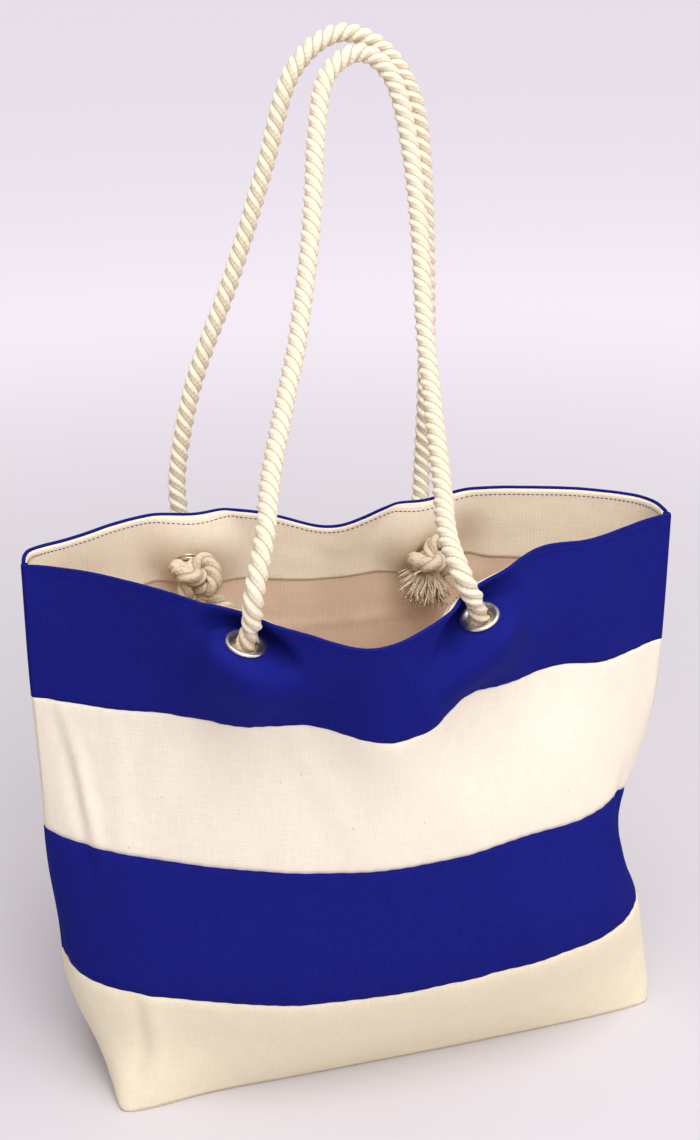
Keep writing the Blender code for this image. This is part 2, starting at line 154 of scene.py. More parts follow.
# Unevenness of the cloth: waves to a metre across and down, and their height
WAVES = ((22, 14, 0.0011), (70, 60, 0.0004))
WAVE_SEED = {"front": 3.0, "back": 11.0}

# A sewn seam: half its width, its depth, and the puckers beside it
SEAM_WIDTH = 0.0035
SEAM_DEPTH = 0.0006
SEAM_LINE_WIDTH = 0.0012
SEAM_LINE_DEPTH = 0.0004
PUCKER_LENGTH = 0.013
PUCKER_HEIGHT = 0.00022

# The distance over which folds and waves fade out, beside an eyelet and at an edge
CALM_RADIUS = 0.017
CALM_FADE = 0.012

# Rope
ROPE = 0.014
ROPE_STEP = 0.0014
ROPE_RADIUS = ROPE / 2 * 1.03
STUB_LENGTH = 0.022
TIGHT = 0.92
PIVOT_RISE = 0.018
FRONT_ROUTE = (
    (-0.1010, -0.108, 0.405), (-0.0880, -0.088, 0.437), (-0.074, -0.050, 0.463),
    (-0.050, 0.000, 0.500), (-0.031, 0.035, 0.534), (-0.006, 0.085, 0.600),
    (0.010, 0.125, 0.658), (0.026, 0.150, 0.699), (0.055, 0.158, 0.714),
    (0.077, 0.150, 0.695), (0.083, 0.130, 0.650), (0.079, 0.095, 0.592),
    (0.067, 0.045, 0.521), (0.051, -0.035, 0.446), (0.040, -0.080, 0.419),
    (0.039, -0.111, 0.402),
)
BACK_ROUTE = (
    (-0.106, 0.130, 0.390), (-0.102, 0.138, 0.423), (-0.085, 0.145, 0.482),
    (-0.052, 0.152, 0.555), (-0.021, 0.160, 0.634), (0.004, 0.169, 0.700),
    (0.042, 0.177, 0.727), (0.078, 0.176, 0.714), (0.100, 0.171, 0.677),
    (0.106, 0.166, 0.625), (0.104, 0.154, 0.526), (0.099, 0.144, 0.449),
    (0.092, 0.134, 0.392),
)
HANDS = {"left": -1, "right": 1}

# Knots: where each tail runs from the knot, and the knot's place and scale
KNOT_TAILS = {
    ("front", "left"): ((0.008, 0.012, -0.010), (0.012, 0.022, -0.024)),
    ("front", "right"): ((-0.006, 0.014, -0.010), (-0.008, 0.026, -0.024)),
    ("back", "left"): ((0.010, -0.008, -0.010), (0.022, -0.012, -0.022), (0.036, -0.012, -0.036)),
    ("back", "right"): ((-0.002, -0.004, -0.004), (-0.003, -0.006, -0.010)),
}
KNOT_DEPTH = {"front": 0.0245, "back": 0.0235}
KNOT_LIFT = {"front": 0.0, "back": 0.009}
KNOT_SHIFT = {("back", "left"): -0.003, ("back", "right"): 0.005}
KNOT_SIZE = {
    ("front", "left"): 0.0033,
    ("front", "right"): 0.0033,
    ("back", "left"): 0.0050,
    ("back", "right"): 0.0053,
}

# The unlaid end: how many yarns, the ways that its two bunches point, and how far the yarns spread
YARNS = 280
YARN_BUNCHES = (Vector((0.30, -0.25, -0.80)), Vector((-0.55, -0.30, -0.55)))
YARN_SPREAD = 0.26
YARN_SAG = 0.005
YARN_SHADE = 0.2
YARN_ROOT = Vector((0.005, -0.003, 0.005))

# Corners round a small tube, the last on top of the first
TUBE_CORNERS = 17


class BagCloth(bpy.types.PropertyGroup):
    """Colours and weave of the sewn cloth"""

    navy: FloatVectorProperty(
        name="Navy",
        description="Colour of the dark stripes",
        subtype="COLOR", size=3,
        default=(0.0090, 0.0120, 0.175),
    )
    cream: FloatVectorProperty(
        name="Cream",
        description="Colour of the pale stripes",
        subtype="COLOR", size=3,
        default=(0.86, 0.775, 0.64),
    )
    bottom: FloatVectorProperty(
        name="Bottom",
        description="Colour of the bottom stripe",
        subtype="COLOR", size=3,
        default=(0.86, 0.77, 0.57),
    )
    facing: FloatVectorProperty(
        name="Facing",
        description="Colour of the facing inside the rim",
        subtype="COLOR", size=3,
        default=(0.90, 0.79, 0.62),
    )
    lining: FloatVectorProperty(
        name="Lining",
        description="Colour of the lining",
        subtype="COLOR", size=3,
        default=(0.76, 0.58, 0.43),
    )
    thread: FloatProperty(
        name="Thread",
        description="Distance between neighbouring threads",
        unit="LENGTH",
        default=0.0011,
        min=0.0003,
    )
    stitch: FloatProperty(
        name="Stitch",
        description="Length of one stitch",
        unit="LENGTH",
        default=0.0026,
        min=0.001,
    )


class BagRope(bpy.types.PropertyGroup):
    """Size and lay of the rope"""

    cotton: FloatVectorProperty(
        name="Cotton",
        description="Colour of the rope",
        subtype="COLOR", size=3,
        default=(0.79, 0.69, 0.52),
    )
    # Painted shade: the knots and tails, which sit inside the bag, take the rope's colour darkened.
    knot: FloatVectorProperty(
        name="Knot",
        description="Colour of the knots and tails",
        subtype="COLOR", size=3,
        default=(0.66, 0.54, 0.39),
    )
    lay: FloatProperty(
        name="Lay",
        description="Length of one full turn of a strand",
        unit="LENGTH",
        default=0.0275,
        min=0.01,
    )
    sides: IntProperty(
        name="Sides",
        description="Faces round the rope",
        default=36,
        min=12,
        max=96,
    )


class BagMetal(bpy.types.PropertyGroup):
    """Finish of the eyelets and washers"""

    nickel: FloatVectorProperty(
        name="Nickel",
        description="Colour of the metal",
        subtype="COLOR", size=3,
        default=(0.80, 0.75, 0.66),
    )
    steps: IntProperty(
        name="Steps",
        description="Faces round an eyelet",
        default=64,
        min=16,
        max=128,
    )


# The loft that every sewn piece follows


def smooth_between(places, values, at):
    """Cubic interpolation through the values, with each slope taken from its neighbours."""
    slopes = np.gradient(values, places)
    k = int(np.clip(np.searchsorted(places, at, side="right") - 1, 0, len(places) - 2))
    width = places[k + 1] - places[k]
    t = (at - places[k]) / width
    rise = t * t * (3 - 2 * t)
    start = t * (1 - t) ** 2 * width * slopes[k]
    end = t * t * (t - 1) * width * slopes[k + 1]
    return values[k] + rise * (values[k + 1] - values[k]) + start + end


def level(drop):
    table = np.array(LEVELS)
    return {
        name: float(smooth_between(table[:, 0], table[:, i], drop))
        for i, name in enumerate(LEVEL_FIELDS)
    }


def section(at, side, count=240):
    """Half of a level, from the left seam to the right one: distances across and out from the chord."""
    angle = np.linspace(0.0, math.pi, count)
    lift = np.abs(np.sin(angle))
    share = np.arccos(np.clip(lift ** (1 / at[side + "_power"]), 0, 1)) * 2 / math.pi
    share *= np.where(angle < math.pi / 2, -1.0, 1.0)
    across = share * at["half_width"]
    out = at["seam_gap"] + (at[side + "_depth"] - at["seam_gap"]) * lift
    if side == "front":
        out = out + at["front_fold"] * np.exp(-((across / FOLD_WIDTH) ** 2))
    return across, out, share


def cloth_width(side):
    across, out, _ = section(level(0.0), side)
    return float(np.hypot(np.diff(across), np.diff(out)).sum())


def level_points(side, drop, places):
    """Points of the bare loft, without eyelets, at cloth places across the panel from -1 to 1."""
    at = level(drop)
    across, out, share = section(at, side)
    run = np.concatenate([[0.0], np.cumsum(np.hypot(np.diff(across), np.diff(out)))])
    wanted = (np.asarray(places) + 1) / 2 * run[-1]
    x = np.interp(wanted, run, across)
    y = np.interp(wanted, run, out) * (-1.0 if side == "front" else 1.0)
    s = np.interp(wanted, run, share)
    z = at["height"] - at[side + "_sag"] * np.exp(-((s / SAG_SHARE[side]) ** 2))
    turn = math.radians(at["turn"])
    wx = at["centre_x"] + x * math.cos(turn) - y * math.sin(turn)
    wy = at["centre_y"] + x * math.sin(turn) + y * math.cos(turn)
    return np.stack([wx, wy, z], axis=-1)


def eyelet_frame(side, hand):
    """Centre, across, up and outward directions of one eyelet."""
    half = cloth_width(side) / 2
    distance, centre, look = EYELETS[side, hand]
    place, drop, step = distance / half, EYELET_DROP / PANEL_HEIGHT, 0.002 / half
    ends = level_points(side, drop, [place - step, place + step])
    along = Vector(ends[1] - ends[0]).normalized()
    normal = Vector(look).normalized()
    across = (along - normal * along.dot(normal)).normalized()
    rise = normal.cross(across) if side == "front" else across.cross(normal)
    return Vector(centre), across, rise, normal


FRAMES = {(side, hand): eyelet_frame(side, hand) for side, hand in EYELETS}


def panel_grid(side, places, drops):
    """Cloth surface with the flat patch round each eyelet, as an array of rows of points."""
    half = cloth_width(side) / 2
    grid = np.array([level_points(side, drop, places) for drop in drops])
    across_cloth = np.asarray(places)[None, :] * half
    down_cloth = np.asarray(drops)[:, None] * PANEL_HEIGHT
    for owner, far, down, push, width in PUSHES:
        if owner == side:
            away = (across_cloth - far) ** 2 + (down_cloth - down) ** 2
            grid = grid + np.exp(-away / width**2)[..., None] * np.array(push)
    for hand in HANDS:
        centre, across, rise, _ = (np.array(v) for v in FRAMES[side, hand])
        right = across_cloth - EYELETS[side, hand][0]
        above = EYELET_DROP - down_cloth
        t = np.clip((PATCH_FADE - np.hypot(right, above)) / (PATCH_FADE - PATCH_FLAT), 0, 1)
        weight = (t * t * (3 - 2 * t))[..., None]
        flat = centre + right[..., None] * across + above[..., None] * rise
        grid = grid * (1 - weight) + flat * weight
    return grid


def outward(side, grid):
    """Unit normals of a grid of points, pointing out of the bag."""
    normal = np.cross(np.gradient(grid, axis=1), np.gradient(grid, axis=0))
    normal /= np.linalg.norm(normal, axis=-1, keepdims=True) + 1e-12
    return -normal if side == "front" else normal


def folded(side, places, drops):
    """The cloth surface with its folds, creases, puckers at the seams and slight unevenness."""
    grid = panel_grid(side, places, drops)
    normal = outward(side, grid)
    half = cloth_width(side) / 2
    right = np.asarray(places)[None, :] * half
    down = np.asarray(drops)[:, None] * PANEL_HEIGHT
    lift = np.zeros((len(drops), len(places)))
    for owner, x, y, angle, length, width, height in FOLDS:
        if owner == side:
            c, s = math.cos(math.radians(angle)), math.sin(math.radians(angle))
            along = (right - x) * c + (down - y) * s
            beside = -(right - x) * s + (down - y) * c
            lift += height * np.exp(-((along / length) ** 2) - (beside / width) ** 2)
    seed = WAVE_SEED[side]
    for i, b in enumerate(down[:, 0]):
        for k, a in enumerate(right[0]):
            for wide, tall, height in WAVES:
                lift[i, k] += height * noise.noise((a * wide, b * tall, seed))
    pucker = np.sin(right * 2 * math.pi / PUCKER_LENGTH + 1.7 * np.sin(right * 61)) * PUCKER_HEIGHT
    for k in (1, 2, 3):
        away = down - k * STRIPE
        lift += np.exp(-((away / SEAM_WIDTH) ** 2)) * (pucker - SEAM_DEPTH)
        lift -= np.exp(-((away / SEAM_LINE_WIDTH) ** 2)) * SEAM_LINE_DEPTH
    calm = np.ones_like(lift)
    for hand in HANDS:
        away = np.hypot(right - EYELETS[side, hand][0], down - EYELET_DROP)
        calm *= np.clip((away - CALM_RADIUS) / CALM_FADE, 0, 1)
    calm *= np.clip((half - np.abs(right)) / CALM_FADE, 0, 1)
    calm *= np.clip((PANEL_HEIGHT - down) / CALM_FADE, 0, 1)
    return grid + normal * (lift * calm)[..., None]


# Materials


def new_material(name):
    made = bpy.data.materials.new(name)
    made.use_nodes = True
    tree = made.node_tree
    return made, tree, tree.nodes["Principled BSDF"]


def node(tree, kind, **settings):
    made = tree.nodes.new(kind)
    for key, value in settings.items():
        if key in made.inputs:
            made.inputs[key].default_value = value
        else:
            setattr(made, key, value)
    return made


def math_node(tree, operation, first, second=None):
    made = node(tree, "ShaderNodeMath", operation=operation)
    for k, value in enumerate((first, second)):
        if value is None:
            continue
        if isinstance(value, (int, float)):
            made.inputs[k].default_value = value
        else:
            tree.links.new(value, made.inputs[k])
    return made.outputs[0]


def scaled(tree, value, middle, amount):
    """The value's distance from the middle, times the amount."""
    return math_node(tree, "MULTIPLY", math_node(tree, "SUBTRACT", value, middle), amount)


def tinted(tree, colour, value):
    """The colour, made lighter or darker by the value."""
    tint = node(tree, "ShaderNodeMix", data_type="RGBA", blend_type="MULTIPLY")
    tint.inputs["Factor"].default_value = 1.0
    tint.inputs["A"].default_value = (*colour, 1.0)
    grey = node(tree, "ShaderNodeCombineColor")
    for socket in grey.inputs[:3]:
        tree.links.new(value, socket)
    tree.links.new(grey.outputs[0], tint.inputs["B"])
    return tint.outputs["Result"]


def add_bump(tree, shader, height, strength, distance):
    bump = node(tree, "ShaderNodeBump", Strength=strength, Distance=distance)
    tree.links.new(height, bump.inputs["Height"])
    tree.links.new(bump.outputs[0], shader.inputs["Normal"])


def cloth_material(name, colour, thread, contrast, fade, fleck, sheen=0.05, specular=0.25):
    """Plain woven cotton: threads over and under each other, thick places in the yarn and slight fading."""
    made, tree, shader = new_material(name)
    links = tree.links
    shader.inputs["Roughness"].default_value = 0.92
    shader.inputs["Sheen Weight"].default_value = sheen
    shader.inputs["Sheen Roughness"].default_value = 0.5
    shader.inputs["Specular IOR Level"].default_value = specular
    place = node(tree, "ShaderNodeUVMap", uv_map="cloth")
    split = node(tree, "ShaderNodeSeparateXYZ")
    links.new(place.outputs["UV"], split.inputs[0])
    turn = math.pi / thread
    warp = math_node(tree, "SINE", math_node(tree, "MULTIPLY", split.outputs["X"], turn))
    weft = math_node(tree, "SINE", math_node(tree, "MULTIPLY", split.outputs["Y"], turn))
    weave = math_node(tree, "ABSOLUTE", math_node(tree, "MULTIPLY", warp, weft))
    slubs = []
    for stretch in ((60, 900, 1), (900, 60, 1)):
        mapping = node(tree, "ShaderNodeMapping", Scale=stretch)
        links.new(place.outputs["UV"], mapping.inputs["Vector"])
        slub = node(tree, "ShaderNodeTexNoise", Scale=1.0, Detail=2.0)
        links.new(mapping.outputs[0], slub.inputs["Vector"])
        slubs.append(slub.outputs["Fac"])
    yarn = math_node(tree, "ADD", slubs[0], slubs[1])
    broad = node(tree, "ShaderNodeTexNoise", Scale=9.0, Detail=3.0)
    links.new(place.outputs["UV"], broad.inputs["Vector"])
    value = math_node(tree, "ADD", scaled(tree, yarn, 1.0, contrast * 4), 1.0)
    value = math_node(tree, "ADD", value, scaled(tree, broad.outputs["Fac"], 0.5, fade))
    base = tinted(tree, colour, value)
    if fleck:
        spots = node(tree, "ShaderNodeTexVoronoi", Scale=55.0, Randomness=1.0)
        links.new(place.outputs["UV"], spots.inputs["Vector"])
        near = node(tree, "ShaderNodeMapRange")
        near.inputs["From Min"].default_value = 0.05
        near.inputs["From Max"].default_value = 0.02
        links.new(spots.outputs["Distance"], near.inputs["Value"])
        seeds = node(tree, "ShaderNodeMix", data_type="RGBA")
        seeds.inputs["B"].default_value = (0.35, 0.24, 0.12, 1.0)
        links.new(math_node(tree, "MULTIPLY", near.outputs[0], fleck), seeds.inputs["Factor"])
        links.new(base, seeds.inputs["A"])
        base = seeds.outputs["Result"]
    links.new(base, shader.inputs["Base Color"])
    height = math_node(tree, "ADD", weave, math_node(tree, "MULTIPLY", yarn, 0.8))
    add_bump(tree, shader, height, 0.35, 0.0004)
    return made


def rope_material(name, colour):
    """Twisted cotton: fine yarns that cross each strand, and painted shade that darkens the grooves between
    the strands.
    """
    made, tree, shader = new_material(name)
    links = tree.links
    shader.inputs["Roughness"].default_value = 0.9
    shader.inputs["Sheen Weight"].default_value = 0.15
    shader.inputs["Sheen Roughness"].default_value = 0.4
    shader.inputs["Specular IOR Level"].default_value = 0.2
    place = node(tree, "ShaderNodeUVMap", uv_map="cloth")
    split = node(tree, "ShaderNodeSeparateXYZ")
    links.new(place.outputs["UV"], split.inputs[0])
    lines = math_node(
        tree,
        "ADD",
        math_node(tree, "MULTIPLY", split.outputs["X"], 5.0),
        math_node(tree, "MULTIPLY", split.outputs["Y"], 1500.0),
    )
    yarn = math_node(tree, "ABSOLUTE", math_node(tree, "SINE", lines))
    # Painted shade: the colour darkens towards each groove between the strands, where the first UV
    # coordinate nears one.
    groove_shade = math_node(tree, "POWER", math_node(tree, "ABSOLUTE", split.outputs["X"]), 6.0)
    fuzz = node(tree, "ShaderNodeTexNoise", Scale=900.0, Detail=3.0)
    where = node(tree, "ShaderNodeTexCoord")
    links.new(where.outputs["Object"], fuzz.inputs["Vector"])
    value = math_node(tree, "SUBTRACT", 1.03, math_node(tree, "MULTIPLY", groove_shade, 0.62))
    value = math_node(tree, "ADD", value, scaled(tree, yarn, 0.6, 0.10))
    value = math_node(tree, "ADD", value, scaled(tree, fuzz.outputs["Fac"], 0.5, 0.12))
    links.new(tinted(tree, colour, value), shader.inputs["Base Color"])
    height = math_node(tree, "ADD", yarn, math_node(tree, "MULTIPLY", fuzz.outputs["Fac"], 0.9))
    add_bump(tree, shader, height, 0.5, 0.0005)
    return made


def nickel_material(name, colour):
    made, tree, shader = new_material(name)
    shader.inputs["Base Color"].default_value = (*colour, 1.0)
    shader.inputs["Metallic"].default_value = 1.0
    where = node(tree, "ShaderNodeTexCoord")
    smear = node(tree, "ShaderNodeTexNoise", Scale=240.0, Detail=4.0)
    tree.links.new(where.outputs["Object"], smear.inputs["Vector"])
    rough = node(tree, "ShaderNodeMapRange")
    rough.inputs["To Min"].default_value = 0.22
    rough.inputs["To Max"].default_value = 0.42
    tree.links.new(smear.outputs["Fac"], rough.inputs["Value"])
    tree.links.new(rough.outputs[0], shader.inputs["Roughness"])
    return made


MATERIALS = {}


def finish_named(name):
    """The material of that name, made the first time that it is asked for."""
    scene = bpy.context.scene
    cloth, rope, metal = scene.bag_cloth, scene.bag_rope, scene.bag_metal
    makers = {
        "navy_canvas": (cloth_material, cloth.navy, cloth.thread, 0.10, 0.16, 0.0, 0.0, 0.05),
        "cream_canvas": (cloth_material, cloth.cream, cloth.thread, 0.035, 0.06, 0.45),
        "bottom_canvas": (cloth_material, cloth.bottom, cloth.thread, 0.035, 0.06, 0.45),
        "facing_cloth": (cloth_material, cloth.facing, cloth.thread, 0.04, 0.08, 0.25),
        "lining_cloth": (cloth_material, cloth.lining, cloth.thread, 0.04, 0.10, 0.25),
        "cotton_rope": (rope_material, rope.cotton),
        # A darker copy of the rope's material, as painted shade on the knots and tails.
        "knot_cotton_shaded": (rope_material, rope.knot),
        "nickel": (nickel_material, metal.nickel),
    }
    if name not in MATERIALS:
        maker, *settings = makers[name]
        MATERIALS[name] = maker(name, *settings)
    return MATERIALS[name]


# Piece makers


def run_along(points):
    """Distance of each point from the first, along the line."""
    return np.concatenate([[0.0], np.cumsum(np.linalg.norm(np.diff(points, axis=0), axis=1))])


def tube_points(middle, first, second, angle):
    """Rings round a line, with their half axes given at each of its points."""
    points = middle[:, None, :] + np.cos(angle)[..., None] * first[:, None, :]
    points = points + np.sin(angle)[..., None] * second[:, None, :]
    points[:, -1] = points[:, 0]
    return points


def unwrap(shape, place):
    """Gives each corner the cloth distances that the function finds for its vertex."""
    layer = shape.loops.layers.uv.new("cloth")
    for face in shape.faces:
        for loop in face.loops:
            loop[layer].uv = place(loop.vert)


def finished_mesh(name, shape):
    mesh = bpy.data.meshes.new(name)
    shape.to_mesh(mesh)
    shape.free()
    return mesh


def put_in_place(name, mesh, finish, body, replaced=(), smooth=True):
    """The piece that holds the mesh, riding its body, with the name of its finish as its slot."""
    made = bpy.data.objects.new(name, mesh)
    bpy.context.scene.collection.objects.link(made)
    mesh.materials.append(finish_named(finish))
    if smooth:
        mesh.shade_smooth()
    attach(made, body)
    if replaced:
        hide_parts(*replaced)
    return made


def grid_mesh(name, points, uvs, closed_round=False):
    """A grid that follows an array of rows of points, with its cloth distances as a UV map."""
    rows, columns = points.shape[0] - 1, points.shape[1] - 1
    shape = bmesh.new()
    bmesh.ops.create_grid(shape, x_segments=columns, y_segments=rows, size=0.5)
    for vertex in shape.verts:
        k = round((vertex.co.x + 0.5) * columns)
        i = round((vertex.co.y + 0.5) * rows)
        vertex.index = i * (columns + 1) + k
    unwrap(shape, lambda vertex: uvs[divmod(vertex.index, columns + 1)])
    for vertex in shape.verts:
        vertex.co = points[divmod(vertex.index, columns + 1)]
    if closed_round:
        bmesh.ops.remove_doubles(shape, verts=shape.verts[:], dist=1e-6)
        bmesh.ops.holes_fill(shape, edges=[e for e in shape.edges if e.is_boundary], sides=0)
        bmesh.ops.recalc_face_normals(shape, faces=shape.faces[:])
    return finished_mesh(name, shape)


def cloth_piece(name, side, top, bottom, inset, thickness, finish, step=0.0028, replaced=()):
    """One closed piece of cloth between two distances below the rim."""
    half = cloth_width(side) / 2
    columns = max(8, int(2 * half / step))
    rows = max(3, int((bottom - top) / step))
    places = np.linspace(-1.0, 1.0, columns + 1)
    distances = np.linspace(top, bottom, rows + 1)
    points = folded(side, places, distances / PANEL_HEIGHT)
    uvs = np.stack(np.meshgrid(places * half, distances), axis=-1)
    if side == "front":
        points, uvs = points[::-1], uvs[::-1]
    mesh = grid_mesh(name, points, uvs)
    made = put_in_place(name, mesh, finish, "bag", replaced)
    shell = made.modifiers.new("thickness", "SOLIDIFY")
    shell.thickness = thickness
    shell.offset = -1 - 2 * inset / thickness
    return made


def turned_piece(name, outline, steps, matrix, finish, replaced):
    """An outline of radius and height pairs, spun about its own axis."""
    shape = bmesh.new()
    corners = [shape.verts.new((radius, 0, height)) for radius, height in outline]
    edges = [shape.edges.new(pair) for pair in zip(corners, corners[1:] + corners[:1])]
    bmesh.ops.spin(
        shape,
        geom=corners + edges,
        cent=(0, 0, 0),
        axis=(0, 0, 1),
        angle=2 * math.pi,
        steps=steps,
        use_merge=True,
    )
    bmesh.ops.remove_doubles(shape, verts=shape.verts[:], dist=1e-7)
    bmesh.ops.recalc_face_normals(shape, faces=shape.faces[:])
    bmesh.ops.transform(shape, matrix=matrix, verts=shape.verts[:])
    return put_in_place(name, finished_mesh(name, shape), finish, "bag", replaced)


def eyelet_matrix(side, hand):
    centre, across, _, normal = FRAMES[side, hand]
    turn = Matrix((across, normal.cross(across), normal)).transposed().to_4x4()
    return Matrix.Translation(centre) @ turn


def smooth_line(route, step):
    """Points an even step apart along a smooth curve through the route."""
    points = [Vector(p) for p in route]
    ends = [2 * points[0] - points[1]] + points + [2 * points[-1] - points[-2]]
    fine = []
    for a, b, c, d in zip(ends, ends[1:], ends[2:], ends[3:]):
        for k in range(16):
            t = k / 16
            bend = (2 * a - 5 * b + 4 * c - d) * t**2 + (3 * b - a - 3 * c + d) * t**3
            fine.append(0.5 * (2 * b + (c - a) * t + bend))
    fine.append(points[-1])
    rows = np.array([tuple(p) for p in fine])
    run = run_along(rows)
    count = max(3, round(run[-1] / step) + 1)
    wanted = np.linspace(0.0, run[-1], count)
    return np.stack([np.interp(wanted, run, rows[:, k]) for k in range(3)], axis=-1)


def carried_frames(line):
    """Two directions across the line at each of its points, carried along it without turning."""
    tangent = np.gradient(line, axis=0)
    tangent /= np.linalg.norm(tangent, axis=1, keepdims=True)
    side = np.cross(tangent[0], (0.3, 0.9, 0.2))
    firsts = []
    for t in tangent:
        side = side - t * side.dot(t)
        side = side / np.linalg.norm(side)
        firsts.append(side)
    first = np.array(firsts)
    return first, np.cross(tangent, first)


def strand_radius(angle, radius):
    """Outline of three strands laid together, by the angle from the middle of the nearest strand."""
    strand, away = 0.50 * radius, 0.50 * radius
    inside = np.clip(strand**2 - (away * np.sin(angle)) ** 2, 0, None)
    return np.maximum(away * np.cos(angle) + np.sqrt(inside), 0.82 * radius)


def rope_mesh(name, line, radii, lay, sides):
    """Three strands twisted together along a line, and closed at both ends."""
    first, second = carried_frames(line)
    run = run_along(line)
    strand = np.linspace(0, 2 * math.pi, sides + 1)
    local = np.abs((strand + math.pi / 3) % (2 * math.pi / 3) - math.pi / 3)
    angle = strand[None, :] - run[:, None] * 2 * math.pi / lay
    around = tube_points(np.zeros_like(line), first, second, angle)
    shape = strand_radius(local, 1.0)[None, :, None]
    points = line[:, None, :] + around * shape * np.asarray(radii)[:, None, None]
    # The first UV coordinate runs from a strand's middle (0) to its groove (1); the rope material paints
    # shade near the groove.
    uvs = np.stack(np.meshgrid(local / (math.pi / 3), run), axis=-1)
    return grid_mesh(name, points, uvs, closed_round=True)


def pivot(side, hand):
    centre, _, _, normal = FRAMES[side, hand]
    return centre + PIVOT_RISE * normal


def end_radii(count):
    """Radii along a rope that closes in a round end at either side."""
    run = np.arange(count) * ROPE_STEP
    radii = np.full(count, ROPE_RADIUS)
    for distance in (run, run[::-1]):
        inside = np.clip(1 - (1 - np.clip(distance / ROPE_RADIUS, 0, 1)) ** 2, 0.02, 1)
        radii = np.minimum(radii, ROPE_RADIUS * np.sqrt(inside))
    return radii


def stitch_row(name, side, lift, length, finish, reach=0.985):
    """A row of short stitches along the rim, lifted off the cloth's outer face."""
    half = cloth_width(side) / 2
    pitch = length + STITCH_GAP
    count = int(2 * half * reach / pitch)
    places = (np.arange(count + 1) * pitch - half * reach) / half
    drops = np.array([STITCH_DROP - 0.001, STITCH_DROP, STITCH_DROP + 0.001]) / PANEL_HEIGHT
    grid = folded(side, places, drops)
    normal = outward(side, grid)[1]
    line = grid[1]
    shape = bmesh.new()
    for k in range(count):
        away = min(abs(places[k] * half - EYELETS[side, hand][0]) for hand in HANDS)
        if away < 0.004 and lift > 0:
            continue
        along = Vector(line[k + 1] - line[k]).normalized()
        up = Vector(normal[k])
        across = up.cross(along).normalized()
        middle = Vector((line[k] + line[k + 1]) / 2) + up * lift
        place = Matrix.Translation(middle) @ Matrix((along, across, up)).transposed().to_4x4()
        size = Matrix.Diagonal((length / 2, STITCH_WIDTH, STITCH_WIDTH, 1))
        bmesh.ops.create_icosphere(shape, subdivisions=1, radius=1.0, matrix=place @ size)
    unwrap(shape, lambda vertex: (vertex.co.x, vertex.co.z))
    return put_in_place(name, finished_mesh(name, shape), finish, "bag")


# Operators, one for each piece or group of like pieces


class BAG_OT_camera(bpy.types.Operator):
    """Sets up the camera that looks down at the front of the bag"""

    bl_idname = "beach_bag.camera"
    bl_label = "Camera"

    def execute(self, context):
        data = bpy.data.cameras.new("camera")
        data.sensor_width = 36.0
        data.sensor_fit = "AUTO"
        data.lens = 56.8421
        data.clip_start = 0.05
        made = bpy.data.objects.new("camera", data)
        context.scene.collection.objects.link(made)
        ahead = Vector((0.2511, 0.8992, -0.3584)).normalized()
        right = Vector((0.9607, -0.2768, -0.0215))
        right = (right - ahead * right.dot(ahead)).normalized()
        up = right.cross(ahead)
        turn = Matrix((right, up, -ahead)).transposed().to_4x4()
        made.matrix_world = Matrix.Translation((-0.3324, -1.1675, 0.8342)) @ turn
        context.scene.camera = made
        return {"FINISHED"}


class BAG_OT_handles(bpy.types.Operator):
    """Makes the two twisted rope handles outside the eyelets"""

    bl_idname = "beach_bag.handles"
    bl_label = "Rope handles"

    def execute(self, context):
        rope = context.scene.bag_rope
        for side, route in (("front", FRONT_ROUTE), ("back", BACK_ROUTE)):
            start, end = pivot(side, "left"), pivot(side, "right")
            line = smooth_line((tuple(start), *route, tuple(end)), ROPE_STEP)
            lead = (line[0] - line[1]) / np.linalg.norm(line[0] - line[1])
            tail = (line[-1] - line[-2]) / np.linalg.norm(line[-1] - line[-2])
            count = int(ROPE / 2 / ROPE_STEP)
            head = [line[0] + lead * ROPE_STEP * k for k in range(count, 0, -1)]
            foot = [line[-1] + tail * ROPE_STEP * k for k in range(1, count + 1)]
            whole = np.array(head + list(line) + foot)
            name, body = f"{side}_rope_handle", f"{side}_handle"
            mesh = rope_mesh(name, whole, end_radii(len(whole)), rope.lay, rope.sides)
            made = put_in_place(name, mesh, "cotton_rope", body, (f"{side}_handle_rope",))
        return {"FINISHED"}


def knot_line(side, hand):
    """The rope's middle line from in front of the eyelet, through its overhand knot, to the tail's end."""
    centre, across, rise, normal = FRAMES[side, hand]
    size = KNOT_SIZE[side, hand]
    middle = centre - normal * KNOT_DEPTH[side] + rise * KNOT_LIFT[side]
    middle = middle - across * KNOT_SHIFT.get((side, hand), 0.0)
    points = [centre + normal * h for h in (PIVOT_RISE - 0.002, 0.008, -0.002, -0.007)]
    for k in range(0, 33):
        t = math.radians(-60 + k * 12.5)
        x = math.sin(t) + 2 * math.sin(2 * t)
        y = math.cos(t) - 2 * math.cos(2 * t)
        z = -math.sin(3 * t)
        points.append(middle + across * x * size + rise * y * size + normal * z * size * 1.8)
    last = points[-1]
    for offset in KNOT_TAILS[side, hand]:
        points.append(last + Vector(offset))
    return [tuple(p) for p in points]


class BAG_OT_knots(bpy.types.Operator):
    """Makes the rope ends: a stub through each eyelet, its overhand knot and its tail"""

    bl_idname = "beach_bag.knots"
    bl_label = "Knots"

    def execute(self, context):
        rope = context.scene.bag_rope
        for side, hand in EYELETS:
            line = smooth_line(knot_line(side, hand), ROPE_STEP)
            run = np.arange(len(line)) * ROPE_STEP
            radius = np.where(run > STUB_LENGTH, ROPE / 2 * TIGHT, ROPE / 2)
            radius = np.minimum(radius, end_radii(len(line)))
            name = f"{side}_{hand}_rope_end"
            mesh = rope_mesh(name, line, radius, rope.lay, rope.sides)
            replaced = (f"{side}_{hand}_knot",)
            put_in_place(name, mesh, "knot_cotton_shaded", "bag", replaced)
        return {"FINISHED"}


